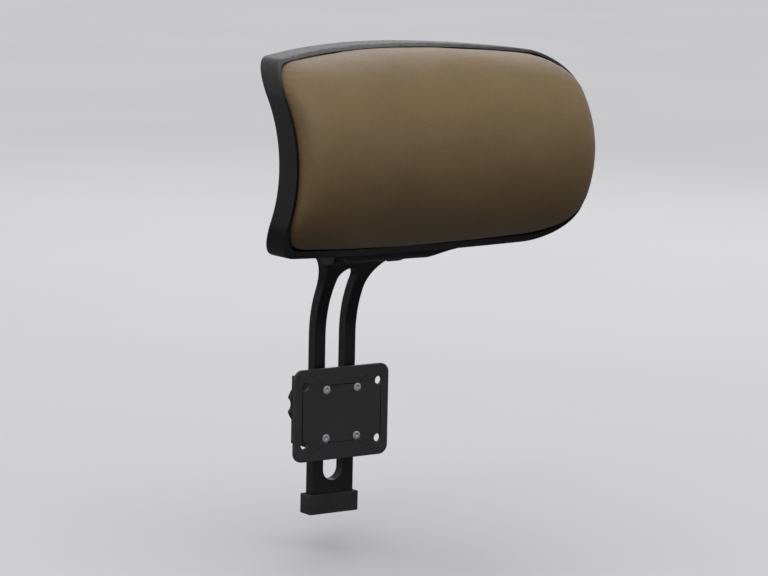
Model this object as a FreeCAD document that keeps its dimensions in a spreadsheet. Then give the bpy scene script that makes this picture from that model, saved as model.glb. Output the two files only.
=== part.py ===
"""Clamp-on headrest for an office chair.

A padded shell tilts on a friction hinge at the top of a slotted arm.  The arm
slides up and down in a guide that is bolted to the back of the chair, and a
star knob clamps it.

Frame: origin at the middle of the bolt pattern, on the front face of the
mounting plate.  -Y is forward, towards the sitter's head, and +Z is up.
"""
import FreeCAD, Part
import math
import os
from types import SimpleNamespace

import Sketcher
from FreeCAD import Placement, Rotation, Vector

# Driving dimensions in millimetres and degrees: alias, value, meaning.
SIZES = [
    # headrest
    ("head_width", 282, "shell width"),
    ("head_height", 166, "shell height"),
    ("head_centre_z", 223, "height of the shell's middle"),
    ("curve_centre_z", 219.5, "height of the shell's foremost line"),
    ("rim_y", -117, "front of the shell's rim at mid height"),
    ("curve_radius", 90, "side profile of the shell, bulging forward"),
    ("plan_radius", 440, "wrap of the shell around the head, seen from above"),
    ("shell_depth", 23, "depth of the shell from rim to back"),
    ("shell_wall", 2.5, "wall of the shell"),
    ("shell_bottom_lip", 7, "thicker wall along the lower rim"),
    ("edge_radius", 1150, "arch of the upper and lower edges, seen from the front"),
    ("shell_top_corner", 28, "upper corner radius of the shell, seen from the front"),
    ("shell_low_corner", 34, "lower corner radius of the shell, seen from the front"),
    ("chin_drop", 6.5, "chin below the shell's lower rim"),
    ("chin_low_half", 37, "half width of the chin at its lower edge"),
    ("chin_rim_half", 72, "half width of the chin where it flares into the rim"),
    ("chin_lead", 1, "start of the chin in front of the lower rim"),
    ("chin_round", 16, "rounding of the chin's front, seen from the side"),
    ("chin_slope", 9, "depth over which the chin's front rounds down"),
    ("chin_rear_slope", 5, "depth over which the chin's rear runs up"),
    ("chin_bury", 5, "depth of the chin inside the lower rim"),
    ("pad_gap", 1, "gap between pad and shell wall"),
    ("pad_height_above_rim", 40, "how far the pad stands in front of the rim"),
    ("pad_end_radius", 54, "rounding of the pad's ends, seen from above"),
    ("cover_thick", 1.5, "leather cover"),
    ("cover_return", 15, "cover folded behind the board"),
    ("board_thick", 6, "board that carries the foam"),
    ("board_front", 10, "front of the board, behind the rim surface"),
    ("staple_width", 10, "crown of a staple"),
    ("staple_wire", 1.2, "width of the staple wire"),
    ("staple_thick", 0.7, "thickness of the staple wire"),
    ("shell_screw_x", 105, "shell screws from the middle"),
    ("shell_screw_z", 38, "shell screws above and below the middle"),
    # tilt hinge
    ("hinge_z", 140, "height of the tilt axis"),
    ("ear_radius", 13, "arm ears around the tilt axis"),
    ("ear_inner", 22, "inner faces of the ears from the middle"),
    ("ear_outer", 35, "outer faces of the ears from the middle"),
    ("ear_web", 5, "ear thickness under the bolt head"),
    ("ear_recess_radius", 9.5, "recess for the bolt head and nut"),
    ("knuckle_radius", 12, "bracket knuckle between the ears"),
    ("knuckle_half", 20, "half width of the knuckle"),
    ("hinge_clearance", 3, "room around the knuckle in the fork"),
    ("chin_clearance", 2.5, "room around the ears inside the chin"),
    ("chin_half", 38, "half width of the room for the ears"),
    ("pin_radius", 4, "shoulder of the hinge bolt"),
    ("pin_thread_radius", 3, "threaded end of the hinge bolt"),
    ("pin_fit", 0.05, "running clearance of the knuckle on the bolt"),
    ("bush_radius", 5.5, "outside of the ear bushes"),
    ("disc_radius", 11.5, "friction discs"),
    ("disc_gap", 0.1, "gap between knuckle and friction disc"),
    ("spring_radius", 8, "disc springs"),
    ("flange_half", 32, "half width of the bracket flange"),
    ("flange_low", 193, "lower edge of the bracket flange"),
    ("flange_high", 249, "upper edge of the bracket flange"),
    ("flange_back", -84, "rear face of the bracket flange"),
    ("flange_blank", 20, "depth of the bracket flange before the shell trims it"),
    ("spine_half", 12, "half width of the bracket spine"),
    ("spine_toe_y", 9, "front of the spine at the knuckle, ahead of the tilt axis"),
    ("spine_toe_z", 8, "front of the spine at the knuckle, above the tilt axis"),
    ("spine_belly_y", 43, "underside of the spine, ahead of the tilt axis"),
    ("spine_belly_z", 18, "underside of the spine, above the tilt axis"),
    ("spine_foot", 8, "foot of the spine above the flange's lower edge"),
    ("spine_bend_y", 33, "top of the spine, ahead of the tilt axis"),
    ("spine_bend_z", 32, "top of the spine, above the tilt axis"),
    ("spine_heel_y", 7, "rear of the spine at the knuckle, behind the tilt axis"),
    ("spine_heel_z", 9.7, "rear of the spine at the knuckle, above the tilt axis"),
    ("bracket_screw_x", 22, "bracket screws from the middle"),
    ("bracket_screw_low", 204, "lower pair of bracket screws"),
    ("bracket_screw_high", 238, "upper pair of bracket screws"),
    # arm
    ("arm_y", 16, "middle of the arm's thickness inside the guide"),
    ("arm_thick", 9, "arm thickness"),
    ("arm_half", 20, "half width of the arm"),
    ("arm_bottom", -80, "lower end of the arm"),
    ("bend_radius", 90, "bend of the arm over the chair's back"),
    ("bend_angle", 60, "angle of the bend"),
    ("slot_half", 9.5, "half width of the arm's slot"),
    ("slot_bottom", -58, "lower end of the slot"),
    ("slot_top", 121, "upper end of the slot"),
    ("flare_start", 102, "height where the arm starts to widen"),
    ("flare_end", 131, "height where the arm has widened"),
    # guide and clamp
    ("plate_width", 92, "mounting plate"),
    ("plate_height", 76, "mounting plate"),
    ("plate_thick", 3, "mounting plate"),
    ("plate_corner", 8, "mounting plate"),
    ("bolt_x", 36, "bolt holes from the middle"),
    ("bolt_z", 24, "bolt holes from the middle"),
    ("bolt_hole", 6.6, "clearance hole for an M6 bolt"),
    ("plate_screw_x", 15, "plate screws from the middle"),
    ("plate_screw_z", 20, "plate screws from the middle"),
    ("guide_half", 28, "half width of the guide"),
    ("guide_half_z", 28, "half height of the guide"),
    ("guide_floor", 11.2, "front wall of the arm channel"),
    ("guide_split", 20.8, "joint between housing and cover"),
    ("guide_back", 32, "rear face of the guide cover"),
    ("channel_half", 21.8, "half width of the channel"),
    ("liner_thick", 1.6, "sliding strip"),
    ("guide_screw_x", 24.9, "cover screws from the middle"),
    ("guide_screw_z", 22, "cover screws from the middle"),
    ("clamp_half", 18, "half width of the clamp plate"),
    ("clamp_room", 0.4, "room around the clamp plate"),
    ("clamp_front", 20.6, "front of the rubber clamp pad"),
    ("clamp_pad_thick", 2.2, "rubber clamp pad"),
    ("clamp_plate_thick", 3, "steel clamp plate"),
    ("washer_thick", 1.5, "thrust washer"),
    ("washer_radius", 8, "thrust washer"),
    ("clamp_pocket_back", 29, "rear wall of the clamp pocket"),
    ("nut_half", 6.5, "half width of the square nut"),
    ("nut_front", 3.2, "front of the square nut"),
    ("nut_thick", 6.5, "square nut"),
    ("stud_radius", 4, "threaded stud"),
    ("stud_fit", 0.05, "clearance of the stud in the nut"),
    ("stud_tip", 4.5, "front end of the stud"),
    ("knob_radius", 20, "star knob"),
    ("knob_front", 34, "front face of the star knob"),
    ("knob_thick", 18, "star knob"),
    ("knob_lobes", 6, "number of finger hollows"),
    ("knob_hollow_radius", 7, "finger hollow"),
    ("knob_hollow_at", 23.5, "finger hollow from the knob's axis"),
    ("knob_edge", 1.5, "rounding of the knob's rim"),
    ("knob_boss_gap", 0.1, "gap between knob boss and thrust washer"),
    ("knob_cap_radius", 11, "cap in the knob"),
    ("knob_cap_thick", 2, "cap in the knob"),
    ("knob_web", 2, "wall between the stud and the cap"),
]

doc = FreeCAD.newDocument("Headrest")
sheet = doc.addObject("Spreadsheet::Sheet", "Sizes")
for row, (alias, number, meaning) in enumerate(SIZES, start=1):
    sheet.set(f"A{row}", meaning)
    sheet.set(f"B{row}", str(number))
    sheet.setAlias(f"B{row}", alias)
doc.recompute()


class Formula:
    """A sheet formula with its present value, built up by plain arithmetic."""

    def __init__(self, text, value):
        self.text = text
        self.value = float(value)

    @staticmethod
    def of(thing):
        if isinstance(thing, Formula):
            return thing
        return Formula(repr(float(thing)), thing)

    def _with(self, other, sign, value):
        return Formula(f"({self.text} {sign} {other.text})", value)

    def __add__(self, other):
        other = Formula.of(other)
        return self._with(other, "+", self.value + other.value)

    def __radd__(self, other):
        return Formula.of(other) + self

    def __sub__(self, other):
        other = Formula.of(other)
        return self._with(other, "-", self.value - other.value)

    def __rsub__(self, other):
        return Formula.of(other) - self

    def __mul__(self, other):
        other = Formula.of(other)
        return self._with(other, "*", self.value * other.value)

    def __rmul__(self, other):
        return Formula.of(other) * self

    def __truediv__(self, other):
        other = Formula.of(other)
        return self._with(other, "/", self.value / other.value)

    def __neg__(self):
        return Formula(f"(-{self.text})", -self.value)


def root(thing):
    return Formula(f"sqrt({thing.text})", math.sqrt(thing.value))


def sine(angle):
    return Formula(f"sin({angle.text} * 1 deg)", math.sin(math.radians(angle.value)))


def cosine(angle):
    return Formula(f"cos({angle.text} * 1 deg)", math.cos(math.radians(angle.value)))


s = SimpleNamespace(**{alias: Formula(f"Sizes.{alias}", number) for alias, number, _ in SIZES})

# ---------------------------------------------------------------- modelling helpers

ALONG = {
    "x": Rotation(Vector(0, 1, 0), 90),
    "y": Rotation(Vector(1, 0, 0), -90),
    "z": Rotation(),
}
POINTING = {
    "+x": Rotation(Vector(0, 1, 0), -90),
    "-x": Rotation(Vector(0, 1, 0), 90),
    "+y": Rotation(Vector(1, 0, 0), 90),
    "-y": Rotation(Vector(1, 0, 0), -90),
    "+z": Rotation(Vector(1, 0, 0), 180),
}
PLANES = {
    "XY": Rotation(),
    "XZ": Rotation(Vector(1, 0, 0), 90),
    "YZ": Rotation(Vector(1, 1, 1), 120),
}
nodes = []


def bind(thing, **formulas):
    """Tie properties to the sheet; two underscores stand for a dot."""
    for name, formula in formulas.items():
        thing.setExpression(name.replace("__", "."), Formula.of(formula).text)
    return thing


def place(thing, at, rotation=Rotation()):
    thing.Placement = Placement(Vector(), rotation)
    return bind(thing, Placement__Base__x=at[0], Placement__Base__y=at[1], Placement__Base__z=at[2])


def block(name, low, high):
    box = place(doc.addObject("Part::Box", name), low)
    return bind(box, Length=high[0] - low[0], Width=high[1] - low[1], Height=high[2] - low[2])


def rod(name, axis, start, radius, length):
    cylinder = place(doc.addObject("Part::Cylinder", name), start, ALONG[axis])
    return bind(cylinder, Radius=radius, Height=length)


def cut(name, base, *tools):
    for index, tool in enumerate(tools):
        last = index == len(tools) - 1
        result = doc.addObject("Part::Cut", name if last else f"{name}_step_{index}")
        result.Base = base
        result.Tool = tool
        base = result
    base.Refine = True
    return base


def fuse(name, *pieces):
    result = doc.addObject("Part::MultiFuse", name)
    result.Shapes = list(pieces)
    result.Refine = True
    return result


def common(name, *pieces):
    result = doc.addObject("Part::MultiCommon", name)
    result.Shapes = list(pieces)
    return result


def node(thing, label=None):
    """Mark an object as one sub-part; its label names its file."""
    if label:
        thing.Label = label
    nodes.append(thing)
    return thing


def group(name, pieces):
    """Identical small pieces that share one node."""
    compound = doc.addObject("Part::Compound", name)
    compound.Links = list(pieces)
    return node(compound)


def tube(name, axis, start, outer, inner, length):
    return cut(name, rod(f"{name}_outside", axis, start, outer, length),
               rod(f"{name}_bore", axis, start, inner, length))


def arc_between(first, last, radius, turn):
    """The short arc from first to last; turn is +1 counter-clockwise, -1 clockwise."""
    chord = last - first
    middle = (first + last) * 0.5
    left = Vector(-chord.y, chord.x, 0).normalize()
    height = math.sqrt(max(radius * radius - chord.Length ** 2 / 4, 0.0))
    centre = middle + left * height * turn
    ends = (first, last) if turn > 0 else (last, first)
    angles = [math.atan2(end.y - centre.y, end.x - centre.x) for end in ends]
    if angles[1] < angles[0]:
        angles[1] += 2 * math.pi
    return Part.ArcOfCircle(Part.Circle(centre, Vector(0, 0, 1), radius), *angles)


def outline(name, plane, *loops, body=None, circles=()):
    """A constrained sketch.

    Each loop is a closed list of corners (u, v), and a corner (u, v, radius, turn)
    starts an arc to the next corner.  Each circle is (u, v, radius).
    """
    if body is None:
        sketch = doc.addObject("Sketcher::SketchObject", name)
        sketch.Placement = Placement(Vector(), PLANES[plane])
    else:
        sketch = body.newObject("Sketcher::SketchObject", name)
        wanted = [item for item in body.Origin.OriginFeatures if item.Role == f"{plane}_Plane"]
        sketch.AttachmentSupport = (wanted[0], "")
        sketch.MapMode = "FlatFace"

    def fix(kind, geometry, vertex, formula):
        formula = Formula.of(formula)
        values = (geometry, formula.value) if vertex is None else (geometry, vertex, formula.value)
        index = sketch.addConstraint(Sketcher.Constraint(kind, *values))
        label = f"size_{index}"
        sketch.renameConstraint(index, label)
        sketch.setExpression(f"Constraints.{label}", formula.text)

    for loop in loops:
        corners = [tuple(Formula.of(part) for part in corner[:3]) for corner in loop]
        points = [Vector(corner[0].value, corner[1].value, 0) for corner in corners]
        ends = []
        for index, corner in enumerate(corners):
            following = points[(index + 1) % len(points)]
            if len(corner) == 2:
                geometry = sketch.addGeometry(Part.LineSegment(points[index], following), False)
                ends.append((geometry, 1, 2))
                continue
            turn = loop[index][3]
            arc = arc_between(points[index], following, corner[2].value, turn)
            geometry = sketch.addGeometry(arc, False)
            ends.append((geometry, 1, 2) if turn > 0 else (geometry, 2, 1))
        for index, (geometry, start, finish) in enumerate(ends):
            next_geometry, next_start, _ = ends[(index + 1) % len(ends)]
            sketch.addConstraint(Sketcher.Constraint("Coincident", geometry, finish, next_geometry, next_start))
            fix("DistanceX", geometry, start, corners[index][0])
            fix("DistanceY", geometry, start, corners[index][1])
            if len(corners[index]) == 3:
                fix("Radius", geometry, None, corners[index][2])
    for u, v, radius in circles:
        centre = Vector(Formula.of(u).value, Formula.of(v).value, 0)
        geometry = sketch.addGeometry(Part.Circle(centre, Vector(0, 0, 1), Formula.of(radius).value), False)
        fix("DistanceX", geometry, 3, u)
        fix("DistanceY", geometry, 3, v)
        fix("Radius", geometry, None, radius)
    return sketch


def prism(name, sketch, forward, backward=0.0):
    """Sketch pulled out along its normal (forward) and against it (backward)."""
    solid = doc.addObject("Part::Extrusion", name)
    solid.Base = sketch
    solid.DirMode = "Normal"
    solid.Solid = True
    return bind(solid, LengthFwd=forward, LengthRev=backward)


def rounded_rectangle(half_width, low, high, low_corner, top_corner):
    """Corners of an upright rectangle with round corners, counter-clockwise."""
    return [
        (-half_width + low_corner, low),
        (half_width - low_corner, low, low_corner, 1),
        (half_width, low + low_corner),
        (half_width, high - top_corner, top_corner, 1),
        (half_width - top_corner, high),
        (-half_width + top_corner, high, top_corner, 1),
        (-half_width, high - top_corner),
        (-half_width, low + low_corner, low_corner, 1),
    ]


def arched_rectangle(half_width, low, high, low_corner, top_corner, arch):
    """Like rounded_rectangle, with the upper and lower edges arched to a large radius."""
    def corner(edge, radius, side):
        arch_z = edge - arch * side
        reach = arch - radius
        across = half_width - radius
        up = root(reach * reach - across * across) * side
        return arch_z + up, across * arch / reach, arch_z + up * arch / reach

    low_side, low_x, low_z = corner(low, low_corner, -1)
    top_side, top_x, top_z = corner(high, top_corner, 1)
    return [
        (-low_x, low_z, arch, 1),
        (low_x, low_z, low_corner, 1),
        (half_width, low_side),
        (half_width, top_side, top_corner, 1),
        (top_x, top_z, arch, 1),
        (-top_x, top_z, top_corner, 1),
        (-half_width, top_side),
        (-half_width, low_side, low_corner, 1),
    ]


def new_body(name):
    body = doc.addObject("PartDesign::Body", name)
    doc.recompute()
    return body


def pad(body, name, sketch, length, symmetric=False, reverse=False):
    feature = body.newObject("PartDesign::Pad", name)
    feature.Profile = sketch
    feature.SideType = "Symmetric" if symmetric else "One side"
    feature.Reversed = reverse
    return bind(feature, Length=length)


def pocket(body, name, sketch, length, symmetric=False, reverse=False):
    """A pocket that stops the build if it removes nothing."""
    doc.recompute()
    before = body.Shape.Volume
    feature = body.newObject("PartDesign::Pocket", name)
    feature.Profile = sketch
    feature.SideType = "Symmetric" if symmetric else "One side"
    feature.Reversed = reverse
    bind(feature, Length=length)
    doc.recompute()
    if not body.Shape.Volume < before:
        raise RuntimeError(f"{name} removes nothing")
    return feature


def screw(name, seat, pointing, shank_radius, length, head_radius, head_height):
    """Socket screw: the head rests on the seat point and the shank points away."""
    head = rod(f"{name}_head", "z", (0, 0, 0), head_radius, head_height)
    shank = rod(f"{name}_shank", "z", (0, 0, -Formula.of(length)), shank_radius, length)
    socket = place(doc.addObject("Part::Prism", f"{name}_socket"), (0, 0, Formula.of(head_height) * 0.4))
    socket.Polygon = 6
    bind(socket, Circumradius=Formula.of(head_radius) * 0.5, Height=head_height)
    whole = cut(name, fuse(f"{name}_blank", head, shank), socket)
    return place(whole, seat, POINTING[pointing])


def mirrored_places(x, z):
    """Four places, in the corners of a rectangle around the middle."""
    return [(x * side, z * level) for side in (-1, 1) for level in (-1, 1)]


# ---------------------------------------------------------------- headrest shapes

curve_centre_y = s.rim_y + s.curve_radius
plan_axis_y = s.rim_y - s.plan_radius
head_low = s.head_centre_z - s.head_height / 2
head_high = s.head_centre_z + s.head_height / 2
profile_overrun = 1.5
profile_reach = head_high - s.curve_centre_z + profile_overrun
prism_depth = 230
wrap_angle = 50
cavity_overrun = 60
pad_overrun = 90
hole_overrun = 6
cut_overlap = 1
screw_room = 0.2

shell_inner = s.shell_depth - s.shell_wall
board_back = s.board_front + s.board_thick
return_back = board_back + s.cover_thick
cavity_low = head_low + s.shell_bottom_lip
cavity_high = head_high - s.shell_wall
cavity_half = s.head_width / 2 - s.shell_wall
pad_half = cavity_half - s.pad_gap
pad_low = cavity_low + s.pad_gap
pad_high = cavity_high - s.pad_gap
pad_middle_z = (pad_low + pad_high) / 2
pad_half_height = (pad_high - pad_low) / 2
pad_inset = s.shell_wall + s.pad_gap
pad_front_y = s.rim_y - s.pad_height_above_rim


def profile_y(offset, from_centre):
    """Side profile: y at a height from the foremost line, offset backwards from the rim surface."""
    return curve_centre_y + offset - root(s.curve_radius * s.curve_radius - from_centre * from_centre)


def surface_y(offset, x, z):
    """y of the doubly curved surface that lies offset behind the rim surface."""
    radius = profile_y(offset, z - s.curve_centre_z) - plan_axis_y
    return plan_axis_y + root(radius * radius - x * x)


def wrapped(name, corners):
    """Side profile turned about the upright axis in front of the headrest."""
    solid = doc.addObject("Part::Revolution", name)
    solid.Source = outline(f"{name}_profile", "YZ", corners)
    solid.Axis = Vector(0, 0, 1)
    solid.Angle = wrap_angle
    solid.Symmetric = True
    solid.Solid = True
    return bind(solid, Base__y=plan_axis_y)


def layer(name, front, rear):
    """Curved layer between two offsets behind the rim surface."""
    low = s.curve_centre_z - profile_reach
    high = s.curve_centre_z + profile_reach
    front_y = profile_y(front, profile_reach)
    rear_y = profile_y(rear, profile_reach)
    return wrapped(name, [
        (front_y, low, s.curve_radius, -1),
        (front_y, high),
        (rear_y, high, s.curve_radius, 1),
        (rear_y, low),
    ])


def front_prism(name, low, high, inset):
    """Upright rounded rectangle pulled forward through the headrest, inset from the shell's outline."""
    corners = arched_rectangle(s.head_width / 2 - inset, low, high, s.shell_low_corner - inset,
                               s.shell_top_corner - inset, s.edge_radius - inset)
    return prism(name, outline(f"{name}_outline", "XZ", corners), prism_depth)


def pad_prism(name, inset):
    """The pad's outline, made smaller by the inset."""
    return front_prism(name, pad_low + inset, pad_high - inset, pad_inset + inset)


def pad_solid(name, inset):
    """Plain cushion: D-shaped from the side, wrapped in plan, with rounded ends."""
    half_height = pad_half_height - inset
    crown_y = pad_front_y + pad_half_height
    bar = wrapped(f"{name}_bar", [
        (0.0, pad_middle_z - half_height),
        (0.0, pad_middle_z + half_height),
        (crown_y, pad_middle_z + half_height, half_height, 1),
        (crown_y - half_height, pad_middle_z, half_height, 1),
        (crown_y, pad_middle_z - half_height),
    ])
    end_radius = s.pad_end_radius - inset
    front_radius = pad_front_y + inset - plan_axis_y
    end_x = pad_half - s.pad_end_radius
    reach = front_radius + end_radius
    end_y = plan_axis_y + root(reach * reach - end_x * end_x)
    meet_x = end_x * front_radius / reach
    meet_y = plan_axis_y + (end_y - plan_axis_y) * front_radius / reach
    side_x = pad_half - inset
    plan = prism(f"{name}_plan", outline(f"{name}_plan_outline", "XY", [
        (side_x, 0.0),
        (-side_x, 0.0),
        (-side_x, end_y, end_radius, 1),
        (-meet_x, meet_y, front_radius, -1),
        (meet_x, meet_y, end_radius, 1),
        (side_x, end_y),
    ]), s.head_centre_z + s.head_height)
    return common(name, bar, plan, pad_prism(f"{name}_front", inset))


def tool_rods(name, places, radius, front, rear):
    """Holes along Y at the given (x, z, y shift) places."""
    rods = [rod(f"{name}_{index}", "y", (x, front(x, z), z), radius, rear(x, z) - front(x, z))
            for index, (x, z) in enumerate(places)]
    return fuse(name, *rods)


# ---------------------------------------------------------------- hinge and arm shapes

bend_centre_y = s.arm_y - s.bend_radius
hinge_y = bend_centre_y + s.bend_radius * cosine(s.bend_angle)
bend_start = s.hinge_z - s.bend_radius * sine(s.bend_angle)
head_seat = s.ear_inner + s.ear_web


def hinge_rod(name, radius, half):
    return rod(name, "x", (-Formula.of(half), hinge_y, s.hinge_z), radius, Formula.of(half) * 2)


shell_screw_places = mirrored_places(s.shell_screw_x, s.shell_screw_z)
shell_screw_places = [(x, z + s.head_centre_z) for x, z in shell_screw_places]
bracket_screw_places = [(s.bracket_screw_x * side, z) for side in (-1, 1)
                        for z in (s.bracket_screw_low, s.bracket_screw_high)]

shell_seat = 19.5
shell_boss_radius = 6.5
bracket_boss_radius = 8
boss_reach = 12
boss_root = 2
shell_screw_length = 8
shell_screw_radius = 2
shell_head_radius = 4
shell_head_height = 2.6
head_room = 0.4
bracket_screw_radius = 3
bracket_screw_length = 19
bracket_head_radius = 5
bracket_head_height = 3.5
bracket_hole_room = 0.3
bracket_hole_depth = 30
tee_flange_radius = 8
tee_flange_thick = 1.2
tee_barrel_radius = 4
tee_sink = 2.4
tee_end_gap = 1.3
tee_overlap = 0.1
tee_recess_overrun = 0.5
tee_thread_lead = 5
tee_thread_length = 14


# ---------------------------------------------------------------- rear shell

def build_rear_shell():
    outside = common("shell_outside", layer("shell_outer_layer", 0.0, s.shell_depth),
                     front_prism("shell_block", head_low, head_high, Formula.of(0)))
    chin_low = head_low - s.chin_drop
    chin_end = head_low + s.chin_rim_half * s.chin_rim_half / s.edge_radius / 2
    flare = s.chin_rim_half - s.chin_low_half
    drop = chin_end - chin_low
    flare_radius = (flare * flare + drop * drop) / (drop * 2)
    chin_front = outline("chin_front_outline", "XZ", [
        (-s.chin_rim_half, head_low + s.chin_bury),
        (-s.chin_rim_half, chin_end, flare_radius, -1),
        (-s.chin_low_half, chin_low),
        (s.chin_low_half, chin_low, flare_radius, -1),
        (s.chin_rim_half, chin_end),
        (s.chin_rim_half, head_low + s.chin_bury),
    ])
    rim_low_y = profile_y(0.0, s.curve_centre_z - head_low)
    rear_low_y = profile_y(s.shell_depth, s.curve_centre_z - head_low)
    chin_side = wrapped("chin_side", [
        (rim_low_y - s.chin_lead, head_low + s.chin_lead, s.chin_round, 1),
        (rim_low_y + s.chin_slope, chin_low),
        (rear_low_y - s.chin_rear_slope, chin_low),
        (rear_low_y, head_low),
        (rear_low_y - s.chin_rear_slope, head_low + s.chin_bury),
        (rim_low_y + s.chin_rear_slope, head_low + s.chin_bury),
    ])
    chin = common("chin", prism("chin_front", chin_front, prism_depth), chin_side)
    blank = cut("shell_blank", fuse("shell_with_chin", outside, chin),
                hinge_rod("chin_room", s.ear_radius + s.chin_clearance, s.chin_half))
    cavity = common("shell_cavity", layer("shell_cavity_layer", -cavity_overrun, shell_inner),
                    front_prism("cavity_block", cavity_low, cavity_high, s.shell_wall))
    screw_bosses = tool_rods("screw_bosses", shell_screw_places, shell_boss_radius,
                             lambda x, z: surface_y(shell_inner, x, z) - boss_reach,
                             lambda x, z: surface_y(shell_inner, x, z) + boss_root)
    bracket_bosses = tool_rods("bracket_bosses", bracket_screw_places, bracket_boss_radius,
                               lambda x, z: surface_y(shell_inner, x, z) - boss_reach,
                               lambda x, z: surface_y(shell_inner, x, z) + boss_root)
    boss_zone = layer("boss_zone", board_back, shell_inner + cut_overlap)
    bosses = common("bosses", fuse("boss_rods", screw_bosses, bracket_bosses), boss_zone)
    hollow = cut("shell_hollow", blank, cavity)
    whole = fuse("shell_bossed", hollow, bosses)
    screw_holes = tool_rods("shell_screw_holes", shell_screw_places, shell_screw_radius + screw_room,
                            lambda x, z: surface_y(0.0, x, z),
                            lambda x, z: surface_y(shell_seat + cut_overlap, x, z))
    head_pockets = tool_rods("shell_head_pockets", shell_screw_places, shell_head_radius + head_room,
                             lambda x, z: surface_y(shell_seat, x, z),
                             lambda x, z: surface_y(s.shell_depth, x, z) + hole_overrun)
    bracket_holes = tool_rods("shell_bracket_holes", bracket_screw_places,
                              bracket_screw_radius + bracket_hole_room,
                              lambda x, z: surface_y(0.0, x, z),
                              lambda x, z: surface_y(s.shell_depth, x, z) + hole_overrun)
    node(cut("rear_shell", whole, screw_holes, head_pockets, bracket_holes))
    return blank


shell_blank = build_rear_shell()


# ---------------------------------------------------------------- pad

def build_pad():
    outer = pad_solid("pad_outer", 0.0)
    inner = pad_solid("pad_inner", s.cover_thick)
    tee_recess = tool_rods("tee_recess", bracket_screw_places, tee_flange_radius + screw_room,
                           lambda x, z: surface_y(s.board_front, x, z) - tee_recess_overrun,
                           lambda x, z: surface_y(s.board_front, x, z) + tee_sink)
    before_board = layer("before_board", -pad_overrun, s.board_front)
    node(cut("pad_foam", common("foam_blank", inner, before_board), tee_recess))

    board_blank = common("board_blank", layer("board_layer", s.board_front, board_back),
                         pad_prism("board_block", s.cover_thick))
    barrel_holes = tool_rods("tee_barrel_holes", bracket_screw_places, tee_barrel_radius,
                             lambda x, z: surface_y(s.board_front, x, z),
                             lambda x, z: surface_y(board_back, x, z) + hole_overrun)
    thread_holes = tool_rods("board_thread_holes", shell_screw_places, shell_screw_radius,
                             lambda x, z: surface_y(shell_seat, x, z) - shell_screw_length,
                             lambda x, z: surface_y(board_back, x, z) + hole_overrun)
    node(cut("pad_board", board_blank, tee_recess, barrel_holes, thread_holes))

    wrap = common("cover_wrap", outer, layer("cover_zone", -pad_overrun, return_back))
    stuffing = common("cover_stuffing", pad_prism("stuffing_block", s.cover_thick),
                      layer("stuffing_zone", -pad_overrun, board_back))
    crown = common("cover_crown_room", inner, layer("crown_zone", -pad_overrun, board_back))
    opening = pad_prism("cover_opening", s.cover_return)
    behind = common("cover_back_room", opening,
                    layer("behind_board", board_back - cut_overlap, return_back + hole_overrun))
    board_room = common("cover_board_room", stuffing, layer("board_room_zone", s.board_front, board_back))
    node(cut("pad_cover", wrap, crown, board_room, behind))

    tees = []
    for index, (x, z) in enumerate(bracket_screw_places):
        seat_y = surface_y(s.board_front, x, z) + tee_sink
        end_y = surface_y(board_back, x, z) - tee_end_gap
        flange = rod(f"tee_flange_{index}", "y", (x, seat_y - tee_flange_thick, z),
                     tee_flange_radius, tee_flange_thick)
        barrel = rod(f"tee_barrel_{index}", "y", (x, seat_y - tee_overlap, z), tee_barrel_radius,
                     end_y - seat_y + tee_overlap)
        thread = rod(f"tee_thread_{index}", "y", (x, seat_y - tee_thread_lead, z), bracket_screw_radius,
                     tee_thread_length)
        tees.append(cut(f"tee_nut_{index}", fuse(f"tee_{index}", flange, barrel), thread))
    group("tee_nuts", tees)


def build_staples():
    """Staples that hold the folded cover to the back of the board."""
    inset = s.cover_return / 2
    across = [-100, -60, -20, 20, 60, 100]
    upright = [-42, 0, 42]
    rows = []
    for x in across:
        arch = Formula.of(x) * x / s.edge_radius / 2
        rows.append((Formula.of(x), pad_low + inset + arch, True))
        rows.append((Formula.of(x), pad_high - inset - arch, True))
    for z in upright:
        rows.append((-pad_half + inset, pad_middle_z + z, False))
        rows.append((pad_half - inset, pad_middle_z + z, False))
    staples = []
    for index, (x, z, lies_along_x) in enumerate(rows):
        half_x = (s.staple_width if lies_along_x else s.staple_wire) / 2
        half_z = (s.staple_wire if lies_along_x else s.staple_width) / 2
        wire = block(f"staple_wire_{index}", (x - half_x, -Formula.of(prism_depth), z - half_z),
                     (x + half_x, Formula.of(0.0), z + half_z))
        skin = layer(f"staple_skin_{index}", return_back, return_back + s.staple_thick)
        staples.append(common(f"staple_{index}", wire, skin))
    group("cover_staples", staples)


build_pad()
build_staples()

group("shell_screws", [
    screw(f"shell_screw_{index}", (x, surface_y(shell_seat, x, z), z), "-y", shell_screw_radius,
          shell_screw_length, shell_head_radius, shell_head_height)
    for index, (x, z) in enumerate(shell_screw_places)])


# ---------------------------------------------------------------- tilt bracket

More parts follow.
